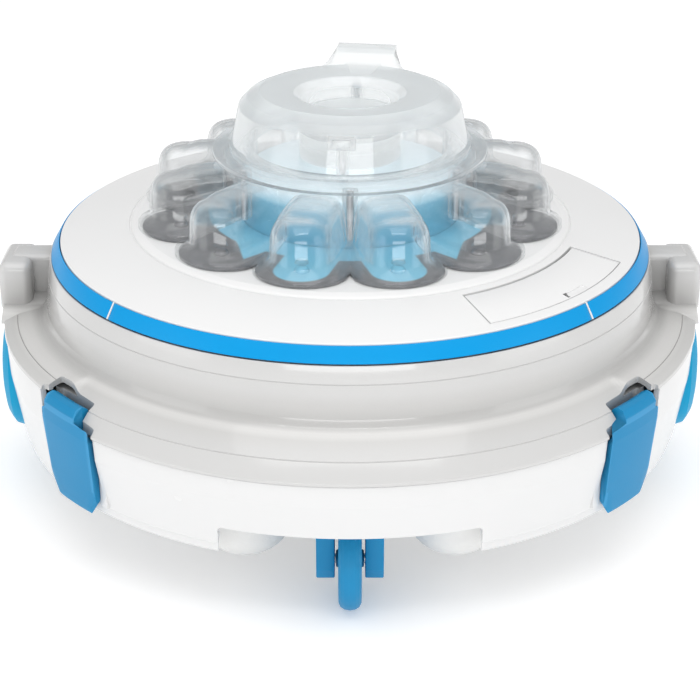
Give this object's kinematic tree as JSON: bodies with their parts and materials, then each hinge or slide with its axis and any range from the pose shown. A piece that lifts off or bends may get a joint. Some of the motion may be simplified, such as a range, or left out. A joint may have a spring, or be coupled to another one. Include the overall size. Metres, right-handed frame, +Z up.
{
  "type": "cordless robotic pool cleaner",
  "caption": "Saucer-shaped cordless pool-cleaning robot: white hull, blue trim ring and latches, clear lamp crown with an upward water outlet, side wheels and a front caster.",
  "frame": {"origin": "on the hull's vertical axis at the height of the floor the machine stands on", "axes": "+Z up, -Y the front with the caster, +X the right-hand side wheel"},
  "size_m": [0.4012, 0.3958, 0.2433],
  "materials": {
    "white_shell": "smooth glossy white moulded plastic",
    "white_deck": "smooth satin-gloss white moulded plastic",
    "white_tray": "glossy white moulded plastic",
    "blue_trim": "bright blue moulded plastic",
    "blue_latch": "satin mid-blue moulded plastic",
    "blue_wheel": "satin blue moulded plastic",
    "clear_plastic": "clear polycarbonate",
    "led_board_dark": "dark printed board with clear lamps",
    "drum_blue": "satin light-blue moulded plastic",
    "grey_plastic": "fine-textured light grey plastic",
    "filter_mesh": "fine woven nylon screen",
    "black_plastic": "black moulded plastic",
    "black_rubber": "soft black rubber",
    "steel": "turned stainless steel",
    "battery_wrap": "blue shrink-wrapped lithium pack",
    "white_hub": "white moulded plastic"
  },
  "bodies": {
    "base": {"lower_tray": "white_tray", "suction_base": "grey_plastic", "motor_housing": "black_plastic", "motor_lid": "black_plastic", "pump_motor": "steel", "battery_pack": "battery_wrap", "control_box": "black_plastic", "switch_tower": "grey_plastic", "ballast_pod_left": "grey_plastic", "ballast_pod_right": "grey_plastic", "gearmotor_left": "black_plastic", "gearmotor_right": "black_plastic"},
    "cover": {"upper_shell": "white_shell", "top_deck": "white_deck", "trim_ring_front": "blue_trim", "trim_ring_right": "blue_trim", "trim_ring_rear": "blue_trim", "trim_ring_left": "blue_trim", "light_crown": "clear_plastic", "led_board": "led_board_dark", "outlet_cap": "clear_plastic", "outlet_drum": "drum_blue", "impeller_duct": "drum_blue", "cap_screw_1": "steel", "cap_screw_2": "steel", "cap_screw_3": "steel", "cap_screw_4": "steel", "crown_screw_1": "steel", "crown_screw_2": "steel", "crown_screw_3": "steel", "crown_screw_4": "steel", "crown_screw_5": "steel", "crown_screw_6": "steel", "clip_pin_front_left": "steel", "clip_pin_front_right": "steel", "clip_pin_rear_right": "steel", "clip_pin_rear_left": "steel"},
    "flap": {"access_flap": "white_deck"},
    "nozzle": {"outlet_nozzle": "clear_plastic"},
    "latch_front_left": {"clip_front_left": "blue_latch"},
    "latch_front_right": {"clip_front_right": "blue_latch"},
    "latch_rear_right": {"clip_rear_right": "blue_latch"},
    "latch_rear_left": {"clip_rear_left": "blue_latch"},
    "impeller_rotor": {"impeller": "drum_blue", "pump_shaft": "steel"},
    "filter_basket": {"filter_frame": "grey_plastic", "filter_screen": "filter_mesh"},
    "drive_left": {"drive_hub_left": "white_hub", "drive_tyre_left": "black_rubber"},
    "drive_right": {"drive_hub_right": "white_hub", "drive_tyre_right": "black_rubber"},
    "guide_left": {"side_wheel_left": "blue_wheel"},
    "guide_right": {"side_wheel_right": "blue_wheel"},
    "caster_swivel": {"caster_fork": "blue_latch", "caster_axle": "steel"},
    "caster_roller": {"caster_wheel": "blue_latch"},
    "intake_front": {"intake_flap_front": "black_rubber"},
    "intake_rear": {"intake_flap_rear": "black_rubber"},
    "button": {"power_button": "blue_trim"},
    "plug": {"charge_plug": "black_rubber"}
  },
  "joints": [
    {"name": "cover_lift", "type": "slide", "parent": "base", "child": "cover", "axis": [0, 0, 1], "range_m": [0, 0.09]},
    {"name": "flap_hinge", "type": "hinge", "parent": "cover", "child": "flap", "pos_m": [0.09584, -0.08813, 0.15857], "axis": [-0.6769, -0.7361, 0], "range_deg": [0, 90]},
    {"name": "nozzle_twist", "type": "hinge", "parent": "cover", "child": "nozzle", "pos_m": [0, 0, 0.21], "axis": [0, 0, 1], "range_deg": [0, 30]},
    {"name": "latch_front_left_hinge", "type": "hinge", "parent": "cover", "child": "latch_front_left", "pos_m": [-0.14245, -0.12603, 0.0974], "axis": [-0.6626, 0.749, 0], "range_deg": [0, 30]},
    {"name": "latch_front_right_hinge", "type": "hinge", "parent": "cover", "child": "latch_front_right", "pos_m": [0.14245, -0.12603, 0.0974], "axis": [-0.6626, -0.749, 0], "range_deg": [0, 30]},
    {"name": "latch_rear_right_hinge", "type": "hinge", "parent": "cover", "child": "latch_rear_right", "pos_m": [0.14245, 0.12603, 0.0974], "axis": [0.6626, -0.749, 0], "range_deg": [0, 30]},
    {"name": "latch_rear_left_hinge", "type": "hinge", "parent": "cover", "child": "latch_rear_left", "pos_m": [-0.14245, 0.12603, 0.0974], "axis": [0.6626, 0.749, 0], "range_deg": [0, 30]},
    {"name": "impeller_spin", "type": "hinge", "parent": "base", "child": "impeller_rotor", "pos_m": [0, 0, 0.14], "axis": [0, 0, 1], "continuous": true},
    {"name": "filter_lift", "type": "slide", "parent": "base", "child": "filter_basket", "axis": [0, 0, 1], "range_m": [0, 0.03]},
    {"name": "drive_left_spin", "type": "hinge", "parent": "base", "child": "drive_left", "pos_m": [-0.128, 0.045, 0.032], "axis": [1, 0, 0], "continuous": true},
    {"name": "guide_left_spin", "type": "hinge", "parent": "base", "child": "guide_left", "pos_m": [-0.19, 0, 0.0718], "axis": [1, 0, 0], "continuous": true},
    {"name": "drive_right_spin", "type": "hinge", "parent": "base", "child": "drive_right", "pos_m": [0.128, 0.045, 0.032], "axis": [1, 0, 0], "continuous": true},
    {"name": "guide_right_spin", "type": "hinge", "parent": "base", "child": "guide_right", "pos_m": [0.19, 0, 0.0718], "axis": [1, 0, 0], "continuous": true},
    {"name": "caster_turn", "type": "hinge", "parent": "base", "child": "caster_swivel", "pos_m": [0, -0.16, 0.058], "axis": [0, 0, 1], "continuous": true},
    {"name": "caster_spin", "type": "hinge", "parent": "caster_swivel", "child": "caster_roller", "pos_m": [0, -0.154, 0.0271], "axis": [1, 0, 0], "continuous": true},
    {"name": "intake_front_hinge", "type": "hinge", "parent": "base", "child": "intake_front", "pos_m": [0, -0.0325, 0.0152], "axis": [1, 0, 0], "range_deg": [0, 70]},
    {"name": "intake_rear_hinge", "type": "hinge", "parent": "base", "child": "intake_rear", "pos_m": [0, 0.0325, 0.0152], "axis": [-1, 0, 0], "range_deg": [0, 70]},
    {"name": "button_press", "type": "slide", "parent": "base", "child": "button", "axis": [0, 0, 1], "range_m": [-0.002, 0]},
    {"name": "plug_hinge", "type": "hinge", "parent": "base", "child": "plug", "pos_m": [0.10593, -0.10936, 0.1448], "axis": [0.6769, 0.7361, 0], "range_deg": [0, 35]}
  ]
}
